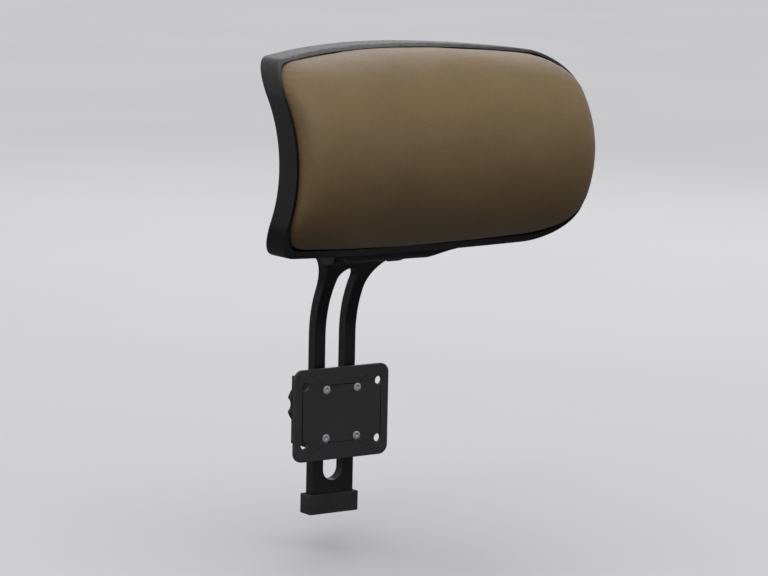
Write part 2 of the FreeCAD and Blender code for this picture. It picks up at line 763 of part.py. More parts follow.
def build_tilt_bracket():
    knuckle = hinge_rod("knuckle", s.knuckle_radius, s.knuckle_half)
    flange_front = s.flange_back - s.flange_blank
    spine_outline = outline("spine_outline", "YZ", [
        (hinge_y, s.hinge_z),
        (hinge_y - s.spine_toe_y, s.hinge_z + s.spine_toe_z),
        (hinge_y - s.spine_belly_y, s.hinge_z + s.spine_belly_z),
        (flange_front, s.flange_low),
        (flange_front, s.flange_high),
        (s.flange_back, s.flange_high),
        (s.flange_back, s.flange_low + s.spine_foot),
        (hinge_y - s.spine_bend_y, s.hinge_z + s.spine_bend_z),
        (hinge_y + s.spine_heel_y, s.hinge_z + s.spine_heel_z),
    ])
    spine = prism("spine", spine_outline, s.spine_half, s.spine_half)
    flange = block("flange", (-s.flange_half, flange_front, s.flange_low),
                   (s.flange_half, s.flange_back, s.flange_high))
    blank = cut("bracket_blank", fuse("bracket_joined", knuckle, spine, flange), shell_blank)
    bore = hinge_rod("knuckle_bore", s.pin_radius + s.pin_fit, s.knuckle_half)
    holes = tool_rods("bracket_holes", bracket_screw_places, bracket_screw_radius + bracket_hole_room,
                      lambda x, z: s.flange_back - bracket_hole_depth,
                      lambda x, z: s.flange_back + cut_overlap)
    node(cut("tilt_bracket", blank, bore, holes))


build_tilt_bracket()

group("bracket_screws", [
    screw(f"bracket_screw_{index}", (x, s.flange_back, z), "-y", bracket_screw_radius,
          bracket_screw_length, bracket_head_radius, bracket_head_height)
    for index, (x, z) in enumerate(bracket_screw_places)])


# ---------------------------------------------------------------- arm

waist_margin = 10
through_arm = 200


def build_arm():
    """Bent slotted bar with two ears around the tilt axis."""
    inner_radius = s.bend_radius - s.arm_thick / 2
    outer_radius = s.bend_radius + s.arm_thick / 2
    front_y = s.arm_y - s.arm_thick / 2
    rear_y = s.arm_y + s.arm_thick / 2
    end_sine = sine(s.bend_angle)
    end_cosine = cosine(s.bend_angle)

    body = new_body("arm")
    side = outline("arm_side", "YZ", [
        (front_y, s.arm_bottom),
        (rear_y, s.arm_bottom),
        (rear_y, bend_start, outer_radius, 1),
        (bend_centre_y + outer_radius * end_cosine, bend_start + outer_radius * end_sine),
        (bend_centre_y + inner_radius * end_cosine, bend_start + inner_radius * end_sine, inner_radius, -1),
        (front_y, bend_start),
    ], body=body)
    pad(body, "arm_bar", side, s.ear_outer * 2, symmetric=True)
    ears = outline("arm_ear_circle", "YZ", body=body, circles=[(hinge_y, s.hinge_z, s.ear_radius)])
    pad(body, "arm_ears", ears, s.ear_outer * 2, symmetric=True)

    rise = s.flare_end - s.flare_start
    widening = s.ear_outer - s.arm_half
    flare_radius = (rise * rise + widening * widening) / (widening * 2)
    far = s.ear_outer + waist_margin
    low = s.arm_bottom - waist_margin
    waists = [[
        (s.arm_half * side, low),
        (far * side, low),
        (far * side, s.flare_end),
        (s.ear_outer * side, s.flare_end, flare_radius, side),
        (s.arm_half * side, s.flare_start),
    ] for side in (-1, 1)]
    waist_outline = outline("arm_waist_outline", "XZ", *waists, body=body)
    pocket(body, "arm_waist", waist_outline, through_arm, symmetric=True)
    round_end = s.slot_half
    slot = [
        (-s.slot_half, s.slot_bottom + round_end, round_end, 1),
        (0.0, s.slot_bottom, round_end, 1),
        (s.slot_half, s.slot_bottom + round_end),
        (s.slot_half, s.slot_top - round_end, round_end, 1),
        (0.0, s.slot_top, round_end, 1),
        (-s.slot_half, s.slot_top - round_end),
    ]
    pocket(body, "arm_slot", outline("arm_slot_outline", "XZ", slot, body=body), through_arm, symmetric=True)
    fork = outline("arm_fork_outline", "YZ", body=body,
                   circles=[(hinge_y, s.hinge_z, s.knuckle_radius + s.hinge_clearance)])
    pocket(body, "arm_fork", fork, s.ear_inner * 2, symmetric=True)
    bores = outline("arm_bore_outline", "YZ", body=body, circles=[(hinge_y, s.hinge_z, s.bush_radius)])
    pocket(body, "arm_bores", bores, s.ear_outer * 2, symmetric=True)
    return body


arm_body = build_arm()
recesses = []
for side_name, start_x in (("left", -s.ear_outer - cut_overlap), ("right", head_seat)):
    recesses.append(rod(f"ear_recess_{side_name}", "x", (start_x, hinge_y, s.hinge_z),
                        s.ear_recess_radius, s.ear_outer - head_seat + cut_overlap))
bumper_screw_x = 12
bumper_screw_length = 12
bumper_screw_radius = 1.6
bumper_head_radius = 3
bumper_head_height = 2.4
bumper_floor = 5
bumper_web = 1.6
bumper_reach = 11.5
bumper_side = 4
bumper_low = s.arm_bottom - bumper_floor
bumper_seat = s.arm_bottom - bumper_web
bumper_high = s.arm_bottom + bumper_reach
bumper_bores = [rod(f"bumper_bore_{index}", "z", (x, s.arm_y, bumper_seat), bumper_screw_radius,
                    bumper_screw_length)
                for index, x in enumerate((-bumper_screw_x, bumper_screw_x))]
arm_body.Label = "arm_bar_body"
arm = node(cut("arm_finished", arm_body, *recesses, *bumper_bores), "arm")


def build_bumper():
    """End cap that stops the arm at the top of its travel."""
    half_thick = s.arm_thick / 2 + 3
    cap = block("bumper_block", (-s.arm_half - bumper_side, s.arm_y - half_thick, bumper_low),
                (s.arm_half + bumper_side, s.arm_y + half_thick, bumper_high))
    socket = block("bumper_socket", (-s.arm_half, s.arm_y - s.arm_thick / 2, s.arm_bottom),
                   (s.arm_half, s.arm_y + s.arm_thick / 2, bumper_high))
    heads = [rod(f"bumper_head_{index}", "z", (x, s.arm_y, bumper_low), bumper_head_radius + screw_room,
                 bumper_seat - bumper_low)
             for index, x in enumerate((-bumper_screw_x, bumper_screw_x))]
    node(cut("arm_end_bumper", cap, socket, *heads, *bumper_bores))
    group("bumper_screws", [
        screw(f"bumper_screw_{index}", (x, s.arm_y, bumper_seat), "+z", bumper_screw_radius,
              bumper_screw_length, bumper_head_radius, bumper_head_height)
        for index, x in enumerate((-bumper_screw_x, bumper_screw_x))])


build_bumper()


# ---------------------------------------------------------------- hinge hardware

def build_hinge():
    spring_thick = 2.0
    nut_thick = 4.6
    nut_radius = 5.77
    thread_length = spring_thick + nut_thick
    pin_head_radius = 6.5
    pin_head_height = 4
    pin_socket_radius = 3
    pin_socket_lead = 0.5
    pin_socket_length = 3
    pin_head = rod("pin_head", "x", (-head_seat - pin_head_height, hinge_y, s.hinge_z), pin_head_radius,
                   pin_head_height)
    shoulder = rod("pin_shoulder", "x", (-head_seat, hinge_y, s.hinge_z), s.pin_radius, head_seat * 2)
    thread = rod("pin_thread", "x", (head_seat, hinge_y, s.hinge_z), s.pin_thread_radius, thread_length)
    socket = place(doc.addObject("Part::Prism", "pin_socket"),
                   (-head_seat - pin_head_height - pin_socket_lead, hinge_y, s.hinge_z), ALONG["x"])
    socket.Polygon = 6
    bind(socket, Circumradius=pin_socket_radius, Height=pin_socket_length)
    node(cut("hinge_pin", fuse("pin_blank", pin_head, shoulder, thread), socket))

    springs = tube("disc_springs", "x", (head_seat, hinge_y, s.hinge_z), s.spring_radius,
                   s.pin_thread_radius, spring_thick)
    node(springs)
    nut_place = (head_seat + spring_thick, hinge_y, s.hinge_z)
    nut = place(doc.addObject("Part::Prism", "hinge_nut_blank"), nut_place, ALONG["x"])
    nut.Polygon = 6
    bind(nut, Circumradius=nut_radius, Height=nut_thick)
    nut_bore = rod("hinge_nut_bore", "x", nut_place, s.pin_thread_radius, nut_thick)
    node(cut("hinge_nut", nut, nut_bore))

    bushes = []
    discs = []
    for side_name, bush_x, disc_x in (("left", -head_seat, -s.ear_inner),
                                      ("right", s.ear_inner, s.knuckle_half + s.disc_gap)):
        bushes.append(tube(f"ear_bush_{side_name}", "x", (bush_x, hinge_y, s.hinge_z), s.bush_radius,
                           s.pin_radius, s.ear_web))
        discs.append(tube(f"friction_disc_{side_name}", "x", (disc_x, hinge_y, s.hinge_z), s.disc_radius,
                          s.pin_radius, s.ear_inner - s.knuckle_half - s.disc_gap))
    group("ear_bushes", bushes)
    group("friction_discs", discs)

    plug = 1.0
    dome = 2.0
    for side_name, plug_x, dome_x in (("left", -s.ear_outer, -s.ear_outer - dome),
                                      ("right", s.ear_outer - plug, s.ear_outer)):
        cap = fuse(f"hinge_cap_{side_name}",
                   rod(f"cap_plug_{side_name}", "x", (plug_x, hinge_y, s.hinge_z), s.ear_recess_radius, plug),
                   rod(f"cap_dome_{side_name}", "x", (dome_x, hinge_y, s.hinge_z), s.ear_radius - 1, dome))
        node(cap)


build_hinge()


# ---------------------------------------------------------------- mounting plate and guide

plate_screw_places = mirrored_places(s.plate_screw_x, s.plate_screw_z)
plate_screw_seat = 1.8
plate_screw_radius = 2
plate_screw_length = 8
plate_head_radius = 3.5
guide_screw_places = mirrored_places(s.guide_screw_x, s.guide_screw_z)
guide_seat_depth = 3.2
guide_screw_seat = s.guide_back - guide_seat_depth
guide_screw_radius = 1.5
guide_screw_length = 15
guide_head_radius = 2.75
guide_head_height = 2.8
through_guide = 20
nut_room = 0.1
stud_room = 0.6
boss_room = 1
liner_gap = 0.1
liner_end_gap = 1
clamp_plate_room = 0.5
washer_room = 0.3


def build_mounting_plate():
    body = new_body("mounting_plate")
    corners = rounded_rectangle(s.plate_width / 2, -s.plate_height / 2, s.plate_height / 2,
                                s.plate_corner, s.plate_corner)
    pad(body, "plate_pad", outline("plate_outline", "XZ", corners, body=body), s.plate_thick, reverse=True)
    holes = outline("plate_bolt_circles", "XZ", body=body,
                    circles=[(x, z, s.bolt_hole / 2) for x, z in mirrored_places(s.bolt_x, s.bolt_z)])
    pocket(body, "plate_bolt_holes", holes, s.plate_thick, symmetric=False)
    seats = outline("plate_screw_circles", "XZ", body=body,
                    circles=[(x, z, plate_head_radius + screw_room) for x, z in plate_screw_places])
    pocket(body, "plate_screw_seats", seats, plate_screw_seat)
    bores = outline("plate_screw_bores", "XZ", body=body,
                    circles=[(x, z, plate_screw_radius + screw_room) for x, z in plate_screw_places])
    pocket(body, "plate_screw_holes", bores, s.plate_thick)
    node(body)


def build_guide():
    housing = block("housing_block", (-s.guide_half, s.plate_thick, -s.guide_half_z),
                    (s.guide_half, s.guide_split, s.guide_half_z))
    channel = block("channel", (-s.channel_half, s.guide_floor, -s.guide_half_z),
                    (s.channel_half, s.guide_split, s.guide_half_z))
    nut_back = s.nut_front + s.nut_thick
    nut_side = s.nut_half + nut_room
    nut_pocket = block("nut_pocket", (-nut_side, s.plate_thick, -nut_side), (nut_side, nut_back, nut_side))
    stud_hole = rod("housing_stud_hole", "y", (0, s.plate_thick, 0), s.stud_radius + stud_room,
                    through_guide)
    screw_bores = [rod(f"housing_bore_{index}", "y", (x, guide_screw_seat - guide_screw_length, z),
                       guide_screw_radius, guide_screw_length)
                   for index, (x, z) in enumerate(guide_screw_places)]
    plate_bores = [rod(f"housing_plate_bore_{index}", "y", (x, 0, z), plate_screw_radius,
                       plate_screw_seat + plate_screw_length)
                   for index, (x, z) in enumerate(plate_screw_places)]
    node(cut("guide_housing", housing, channel, nut_pocket, stud_hole, *screw_bores, *plate_bores))
    group("plate_screws", [
        screw(f"plate_screw_{index}", (x, plate_screw_seat, z), "+y", plate_screw_radius,
              plate_screw_length, plate_head_radius, plate_screw_seat)
        for index, (x, z) in enumerate(plate_screw_places)])

    room = s.clamp_half + s.clamp_room
    cover = block("cover_block", (-s.guide_half, s.guide_split, -s.guide_half_z),
                  (s.guide_half, s.guide_back, s.guide_half_z))
    clamp_pocket = block("clamp_pocket", (-room, s.guide_split, -room), (room, s.clamp_pocket_back, room))
    boss_hole = rod("cover_boss_hole", "y", (0, s.guide_split, 0), s.washer_radius + boss_room,
                    through_guide)
    seats = [rod(f"cover_seat_{index}", "y", (x, guide_screw_seat, z), guide_head_radius + screw_room,
                 guide_seat_depth + cut_overlap)
             for index, (x, z) in enumerate(guide_screw_places)]
    bores = [rod(f"cover_bore_{index}", "y", (x, s.guide_split, z), guide_screw_radius + screw_room,
                 through_guide)
             for index, (x, z) in enumerate(guide_screw_places)]
    node(cut("guide_cover", cover, clamp_pocket, boss_hole, *seats, *bores))
    group("guide_cover_screws", [
        screw(f"guide_screw_{index}", (x, guide_screw_seat, z), "-y", guide_screw_radius,
              guide_screw_length, guide_head_radius, guide_head_height)
        for index, (x, z) in enumerate(guide_screw_places)])

    liner_inner = s.channel_half - s.liner_thick
    for side_name, low_x, high_x in (("left", -s.channel_half, -liner_inner),
                                     ("right", liner_inner, s.channel_half)):
        liner_half_z = s.guide_half_z - liner_end_gap
        node(block(f"guide_liner_{side_name}", (low_x, s.guide_floor + liner_gap, -liner_half_z),
                   (high_x, s.guide_split - liner_gap, liner_half_z)))

    nut = block("clamp_nut_block", (-s.nut_half, s.nut_front, -s.nut_half),
                (s.nut_half, nut_back, s.nut_half))
    nut_bore = rod("clamp_nut_bore", "y", (0, s.nut_front, 0), s.stud_radius + s.stud_fit, s.nut_thick)
    node(cut("clamp_nut", nut, nut_bore))


def build_clamp():
    plate_front = s.clamp_front + s.clamp_pad_thick
    washer_front = plate_front + s.clamp_plate_thick
    pad_block = block("clamp_pad_block", (-s.clamp_half, s.clamp_front, -s.clamp_half),
                      (s.clamp_half, plate_front, s.clamp_half))
    pad_hole = rod("clamp_pad_hole", "y", (0, s.clamp_front, 0), s.stud_radius + boss_room, through_guide)
    node(cut("clamp_pad", pad_block, pad_hole))
    plate = block("clamp_plate_block", (-s.clamp_half, plate_front, -s.clamp_half),
                  (s.clamp_half, washer_front, s.clamp_half))
    plate_hole = rod("clamp_plate_hole", "y", (0, plate_front, 0), s.stud_radius + clamp_plate_room,
                     through_guide)
    node(cut("clamp_plate", plate, plate_hole))
    node(tube("thrust_washer", "y", (0, washer_front, 0), s.washer_radius, s.stud_radius + washer_room,
              s.washer_thick))
    return washer_front + s.washer_thick


def build_knob(washer_back):
    """Star knob, built along its own Z and laid along +Y."""
    body = new_body("knob_grip")
    circle = outline("knob_circle", "XY", body=body, circles=[(0, 0, s.knob_radius)])
    pad(body, "knob_disc", circle, s.knob_thick)
    doc.recompute()
    hollow_outline = outline("knob_hollow_circle", "XY", body=body,
                             circles=[(s.knob_hollow_at, 0, s.knob_hollow_radius)])
    hollow = pocket(body, "knob_hollow", hollow_outline, s.knob_thick, reverse=True)
    pattern = body.newObject("PartDesign::PolarPattern", "knob_hollows")
    pattern.Originals = [hollow]
    pattern.Axis = (hollow_outline, ["N_Axis"])
    pattern.Angle = 360
    bind(pattern, Occurrences=s.knob_lobes)
    body.Tip = pattern
    doc.recompute()
    edges = enumerate(pattern.Shape.Edges, start=1)
    rim = [f"Edge{index}" for index, edge in edges
           if math.isclose(edge.CenterOfMass.z, s.knob_thick.value, abs_tol=0.01)]
    rounding = body.newObject("PartDesign::Fillet", "knob_rim")
    rounding.Base = (pattern, rim)
    bind(rounding, Radius=s.knob_edge)
    body.Tip = rounding
    doc.recompute()
    boss = outline("knob_boss_circle", "XY", body=body, circles=[(0, 0, s.washer_radius)])
    pad(body, "knob_boss", boss, s.knob_front - washer_back - s.knob_boss_gap, reverse=True)
    stud_back = s.knob_thick - s.knob_cap_thick - s.knob_web
    bore = outline("knob_bore_circle", "XY", body=body, circles=[(0, 0, s.stud_radius)])
    pocket(body, "knob_bore", bore, stud_back, reverse=True)
    boss_bore = outline("knob_boss_bore_circle", "XY", body=body, circles=[(0, 0, s.stud_radius)])
    pocket(body, "knob_boss_bore", boss_bore, through_guide)
    recess = outline("knob_recess_circle", "XY", body=body, circles=[(0, 0, s.knob_cap_radius)])
    recess.AttachmentOffset = Placement(Vector(), Rotation())
    recess.setExpression("AttachmentOffset.Base.z", (s.knob_thick - s.knob_cap_thick).text)
    pocket(body, "knob_recess", recess, s.knob_cap_thick + cut_overlap, reverse=True)
    place(body, (0, s.knob_front, 0), ALONG["y"])
    node(body)

    stud_end = s.knob_front + stud_back
    node(rod("knob_stud", "y", (0, s.stud_tip, 0), s.stud_radius, stud_end - s.stud_tip))
    node(rod("knob_cap", "y", (0, s.knob_front + s.knob_thick - s.knob_cap_thick, 0), s.knob_cap_radius,
             s.knob_cap_thick))


build_mounting_plate()
build_guide()
build_knob(build_clamp())

# ---------------------------------------------------------------- check and write

doc.recompute()
for thing in doc.Objects:
    if {"Invalid", "Error"} & set(thing.State):
        raise RuntimeError(f"{thing.Name} failed: {thing.State}")
os.makedirs("parts", exist_ok=True)
for thing in nodes:
    shape = thing.Shape
    if shape.isNull() or not shape.isValid() or not shape.Solids:
        raise RuntimeError(f"{thing.Label} has no sound solid")
    shape.exportStep(f"parts/{thing.Label}.step")
    print(f"{thing.Label:20s} solids {len(shape.Solids):2d} volume {shape.Volume / 1000:8.1f} cm3")
print(f"{len(nodes)} nodes, hinge axis y {hinge_y.value:.3f} z {s.hinge_z.value:.3f}")
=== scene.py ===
"""Chair headrest attachment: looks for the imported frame.

The leather pad is built here from the curves of the shell's rim.  A short cloth
simulation then settles it, by a fraction of a millimetre.  Every other piece is
the CAD node itself, with softened edges and a procedural material.  Metres, in
the frame of the CAD: -Y is forward and +Z is up.
"""
import math

import bpy
from mathutils import Matrix, Vector, noise


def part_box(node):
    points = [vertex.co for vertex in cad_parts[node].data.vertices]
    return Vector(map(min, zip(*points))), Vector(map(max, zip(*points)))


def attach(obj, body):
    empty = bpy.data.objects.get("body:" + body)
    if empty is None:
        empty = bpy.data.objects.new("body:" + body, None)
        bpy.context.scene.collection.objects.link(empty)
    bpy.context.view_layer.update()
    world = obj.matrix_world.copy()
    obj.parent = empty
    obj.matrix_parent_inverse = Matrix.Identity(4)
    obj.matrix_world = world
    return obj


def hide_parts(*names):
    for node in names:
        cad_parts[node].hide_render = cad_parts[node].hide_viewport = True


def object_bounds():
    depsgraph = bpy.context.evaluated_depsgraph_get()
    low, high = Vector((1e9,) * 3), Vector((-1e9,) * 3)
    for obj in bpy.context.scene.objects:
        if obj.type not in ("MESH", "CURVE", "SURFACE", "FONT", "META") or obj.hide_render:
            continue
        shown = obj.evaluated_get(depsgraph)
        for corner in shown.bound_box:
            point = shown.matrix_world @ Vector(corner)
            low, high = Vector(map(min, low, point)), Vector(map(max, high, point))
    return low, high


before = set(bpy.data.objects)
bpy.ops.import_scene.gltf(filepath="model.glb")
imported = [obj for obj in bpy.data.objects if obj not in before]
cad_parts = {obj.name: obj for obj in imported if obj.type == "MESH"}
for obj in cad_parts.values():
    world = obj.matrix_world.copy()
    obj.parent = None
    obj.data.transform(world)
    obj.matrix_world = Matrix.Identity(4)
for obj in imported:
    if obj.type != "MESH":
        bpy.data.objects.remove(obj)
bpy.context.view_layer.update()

scene = bpy.context.scene
MM = 0.001


# ------------------------------------------------------------------ camera, light and floor

VIEW_AZIMUTH = math.radians(-35)
VIEW_ELEVATION = math.radians(8.6)
VIEW_DISTANCE = 2.86
VIEW_ROLL = math.radians(1.2)
LENS = 168.0
FLOOR_DROP = 31 * MM            # the arm slides this far down, so the floor stays clear of it
FLOOR_SIZE = 40.0
FLOOR_COLOUR = (0.54, 0.54, 0.55)
SURROUND_COLOUR = (0.985, 0.985, 1.0, 1.0)
SURROUND_BELOW = 0.10           # strength of the surround well below the horizon
SURROUND_ABOVE = 0.62           # and above it
SURROUND_FADE = -0.25           # how far down the strength falls off


def add_camera():
    """Camera from the front left and a little above, aimed at the middle of the object."""
    low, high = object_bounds()
    target = (low + high) / 2
    back = Vector((math.sin(VIEW_AZIMUTH) * math.cos(VIEW_ELEVATION),
                   -math.cos(VIEW_AZIMUTH) * math.cos(VIEW_ELEVATION),
                   math.sin(VIEW_ELEVATION)))
    camera = bpy.data.objects.new("camera", bpy.data.cameras.new("camera"))
    scene.collection.objects.link(camera)
    camera.data.lens = LENS
    camera.data.clip_start = 0.05
    camera.data.clip_end = 100.0
    camera.location = target + back * VIEW_DISTANCE
    facing = (-back).to_track_quat("-Z", "Y").to_matrix().to_4x4()
    turn = facing @ Matrix.Rotation(VIEW_ROLL, 4, "Z")
    camera.rotation_euler = turn.to_euler()
    scene.camera = camera


def add_light(name, kind, energy, at, aim, **settings):
    data = bpy.data.lights.new(name, kind)
    data.energy = energy
    for key, value in settings.items():
        setattr(data, key, value)
    light = bpy.data.objects.new(name, data)
    scene.collection.objects.link(light)
    light.location = at
    light.rotation_euler = (Vector(aim) - Vector(at)).to_track_quat("-Z", "Y").to_euler()


def add_studio():
    """Pale plain floor, a broad overhead light and an even surround."""
    low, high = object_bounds()
    centre = (low + high) / 2
    floor_mesh = bpy.data.meshes.new("floor")
    half = FLOOR_SIZE / 2
    z = low.z - FLOOR_DROP
    corners = [(-half, -half, z), (half, -half, z), (half, half, z), (-half, half, z)]
    floor_mesh.from_pydata(corners, [], [(0, 1, 2, 3)])
    floor = bpy.data.objects.new("floor", floor_mesh)
    scene.collection.objects.link(floor)
    paint = Finish("floor_paint", FLOOR_COLOUR, roughness=0.9, specular_ior_level=0.1)
    paint.vary_colour(paint.noise(2.0, 2), 0.985, 1.015)
    floor_mesh.materials.append(paint.material)
    floor.visible_diffuse = False       # keeps the floor from lighting the object from below
    floor.visible_glossy = False

    add_light("overhead", "SUN", 1.5, (-0.5, -0.8, 3.0), (0, 0, 0), angle=math.radians(60))
    add_light("front_left", "AREA", 6.0, (-1.6, -1.5, 1.5), centre, size=1.2)
    add_light("rear_right", "AREA", 8.0, (1.5, 1.6, 1.4), centre, size=1.4)
    world = bpy.data.worlds.new("surround")
    world.use_nodes = True
    nodes, links = world.node_tree.nodes, world.node_tree.links
    surround = nodes["Background"]
    surround.inputs["Color"].default_value = SURROUND_COLOUR
    split = nodes.new("ShaderNodeSeparateXYZ")
    links.new(nodes.new("ShaderNodeTexCoord").outputs["Generated"], split.inputs[0])
    level = nodes.new("ShaderNodeMapRange")
    links.new(split.outputs["Z"], level.inputs["Value"])
    fade = {"From Min": SURROUND_FADE, "From Max": 0.0, "To Min": SURROUND_BELOW, "To Max": SURROUND_ABOVE}
    for key, value in fade.items():
        level.inputs[key].default_value = value
    links.new(level.outputs["Result"], surround.inputs["Strength"])
    scene.world = world
    scene.view_settings.view_transform = "Standard"
    scene.view_settings.look = "None"


# ------------------------------------------------------------------ materials

class Finish:
    """A procedural material built around one Principled shader, in object coordinates."""

    def __init__(self, name, colour, **sockets):
        self.material = bpy.data.materials.new(name)
        self.material.use_nodes = True
        self.tree = self.material.node_tree
        self.shader = next(n for n in self.tree.nodes if n.type == "BSDF_PRINCIPLED")
        self.colour = tuple(colour)
        self.shader.inputs["Base Color"].default_value = (*colour, 1.0)
        for key, value in sockets.items():
            label = key.replace("_", " ").title().replace("Ior", "IOR")
            self.shader.inputs[label].default_value = value
        self.places = self.node("TexCoord").outputs["Object"]
        self.colour_out = None
        self.bump_out = None

    def node(self, kind, inputs=(), **settings):
        made = self.tree.nodes.new("ShaderNode" + kind)
        for key, value in settings.items():
            setattr(made, key, value)
        for key, value in dict(inputs).items():
            if isinstance(value, bpy.types.NodeSocket):
                self.tree.links.new(value, made.inputs[key])
            else:
                made.inputs[key].default_value = value
        return made

    def stretched(self, scale):
        return self.node("Mapping", {"Vector": self.places, "Scale": scale}).outputs["Vector"]

    def noise(self, scale, detail=2.0, roughness=0.5, distortion=0.0, places=None):
        made = self.node("TexNoise", {"Vector": places or self.places, "Scale": scale, "Detail": detail,
                                      "Roughness": roughness, "Distortion": distortion})
        return made.outputs["Fac"]

    def cells(self, scale, feature="DISTANCE_TO_EDGE", places=None):
        made = self.node("TexVoronoi", {"Vector": places or self.places, "Scale": scale}, feature=feature)
        return made.outputs["Distance"]

    def ranged(self, value, from_low, from_high, to_low, to_high):
        made = self.node("MapRange", {"Value": value, "From Min": from_low, "From Max": from_high,
                                      "To Min": to_low, "To Max": to_high})
        return made.outputs["Result"]

    def maths(self, operation, a, b):
        return self.node("Math", {0: a, 1: b}, operation=operation).outputs[0]

    def mixed(self, factor, a, b, blend="MIX"):
        """Colour mix; a and b are colours or sockets."""
        def full(c):
            return c if isinstance(c, bpy.types.NodeSocket) else (*c[:3], 1.0)
        made = self.node("Mix", {"Factor": factor}, data_type="RGBA", blend_type=blend)
        for index, value in ((6, full(a)), (7, full(b))):
            if isinstance(value, bpy.types.NodeSocket):
                self.tree.links.new(value, made.inputs[index])
            else:
                made.inputs[index].default_value = value
        return made.outputs[2]

    def set_colour(self, socket):
        self.colour_out = socket
        self.tree.links.new(socket, self.shader.inputs["Base Color"])

    def vary_colour(self, value, low, high):
        """Scales the base colour between low and high by a 0..1 value."""
        base = self.colour_out or self.colour
        dark = self.mixed(1.0, base, (low,) * 3, "MULTIPLY")
        light = self.mixed(1.0, base, (high,) * 3, "MULTIPLY")
        self.set_colour(self.mixed(self.ranged(value, 0.3, 0.7, 0.0, 1.0), dark, light))

    def blend_colour(self, factor, colour):
        self.set_colour(self.mixed(factor, self.colour_out or self.colour, colour))

    def vary_roughness(self, value, low, high):
        self.tree.links.new(self.ranged(value, 0.25, 0.75, low, high), self.shader.inputs["Roughness"])

    def bump(self, height, depth, strength=1.0):
        """Adds a bump of the given depth in metres under what is there already."""
        made = self.node("Bump", {"Height": height, "Distance": depth, "Strength": strength})
        if self.bump_out is not None:
            self.tree.links.new(self.bump_out, made.inputs["Normal"])
        self.bump_out = made.outputs["Normal"]
        self.tree.links.new(self.bump_out, self.shader.inputs["Normal"])

    def edges(self, radius, gain=6.0):
        """0..1 mask that is high along convex edges and in tight corners."""
        rounded = self.node("Bevel", {"Radius": radius}, samples=4).outputs["Normal"]
        straight = self.node("NewGeometry").outputs["Normal"]
        dot = self.node("VectorMath", {0: rounded, 1: straight}, operation="DOT_PRODUCT").outputs["Value"]
        return self.ranged(dot, 1.0, 1.0 - 1.0 / gain, 0.0, 1.0)


def leather_finish():
    made = Finish("cover_leather", (0.172, 0.115, 0.051), roughness=0.48, specular_ior_level=0.22,
                  sheen_weight=0.04, sheen_roughness=0.5)
    broad = made.noise(16.0, 4, 0.55)
    made.vary_colour(broad, 0.90, 1.10)
    made.blend_colour(made.ranged(made.noise(7.0, 2), 0.45, 0.75, 0.0, 0.35), (0.185, 0.108, 0.051))
    grain = made.cells(620.0, places=made.stretched((1.0, 1.0, 1.25)))
    valleys = made.ranged(grain, 0.0, 0.16, 1.0, 0.0)
    made.blend_colour(made.maths("MULTIPLY", valleys, 0.30), (0.078, 0.050, 0.024))
    made.vary_roughness(made.noise(420.0, 3), 0.40, 0.54)
    made.bump(made.ranged(grain, 0.0, 0.22, 0.0, 1.0), 0.00010, 0.55)
    made.bump(made.noise(2600.0, 2), 0.00004, 0.5)
    made.bump(made.noise(95.0, 3, 0.6), 0.0006, 0.16)
    return made.material


def plastic_finish(name, colour, roughness, grain_scale, grain_depth, wear=0.25, flow=True):
    """Moulded plastic: fine spark-eroded texture, faint flow marks, edges rubbed lighter."""
    made = Finish(name, colour, roughness=roughness, specular_ior_level=0.2)
    made.vary_colour(made.noise(24.0, 3), 0.86, 1.18)
    if flow:
        marks = made.noise(38.0, 4, 0.6, 0.6, places=made.stretched((0.5, 0.8, 2.4)))
        made.blend_colour(made.ranged(marks, 0.55, 0.8, 0.0, 0.22), [c * 1.7 for c in colour])
    patchy = made.ranged(made.noise(160.0, 3), 0.35, 0.65, 0.0, wear)
    rubbed = made.maths("MULTIPLY", made.edges(0.0009), patchy)
    made.blend_colour(rubbed, [min(1.0, c * 2.5 + 0.01) for c in colour])
    made.vary_roughness(made.noise(300.0, 3), roughness - 0.07, roughness + 0.09)
    made.bump(made.noise(grain_scale, 3, 0.6), grain_depth, 0.6)
    return made.material


def metal_finish(name, colour, roughness, brushed, stain, stain_amount):
    """Plated or bare metal: brushed or tumbled, uneven tone, stained in patches, finely scratched."""
    made = Finish(name, colour, metallic=1.0, roughness=roughness)
    made.vary_colour(made.noise(60.0, 4, 0.6), 0.88, 1.08)
    made.blend_colour(made.ranged(made.noise(110.0, 4, 0.6), 0.5, 0.72, 0.0, stain_amount), stain)
    brush = made.noise(900.0, 3, 0.65, places=made.stretched(brushed))
    made.vary_roughness(brush, roughness - 0.08, roughness + 0.14)
    made.bump(brush, 0.00003, 0.25)
    return made.material


def painted_finish(name, colour, roughness):
    """Powder coat: fine orange peel, edges worn to a paler sheen."""
    made = Finish(name, colour, roughness=roughness, coat_weight=0.15, coat_roughness=0.35)
    made.vary_colour(made.noise(45.0, 3), 0.85, 1.2)
    patchy = made.ranged(made.noise(240.0, 3), 0.4, 0.65, 0.0, 0.5)
    rubbed = made.maths("MULTIPLY", made.edges(0.0008), patchy)
    made.blend_colour(rubbed, (0.16, 0.16, 0.165))
    made.vary_roughness(made.noise(260.0, 2), roughness - 0.06, roughness + 0.1)
    made.bump(made.noise(850.0, 2), 0.00007, 0.5)
    return made.material


def rubber_finish(name, colour):
    made = Finish(name, colour, roughness=0.78, specular_ior_level=0.32)
    made.vary_colour(made.noise(70.0, 4), 0.8, 1.35)
    dust = made.ranged(made.noise(180.0, 5, 0.7), 0.55, 0.8, 0.0, 0.25)
    made.blend_colour(dust, (0.07, 0.068, 0.064))
    made.vary_roughness(made.noise(350.0, 3), 0.68, 0.88)
    made.bump(made.noise(1500.0, 3, 0.6), 0.00006, 0.6)
    return made.material


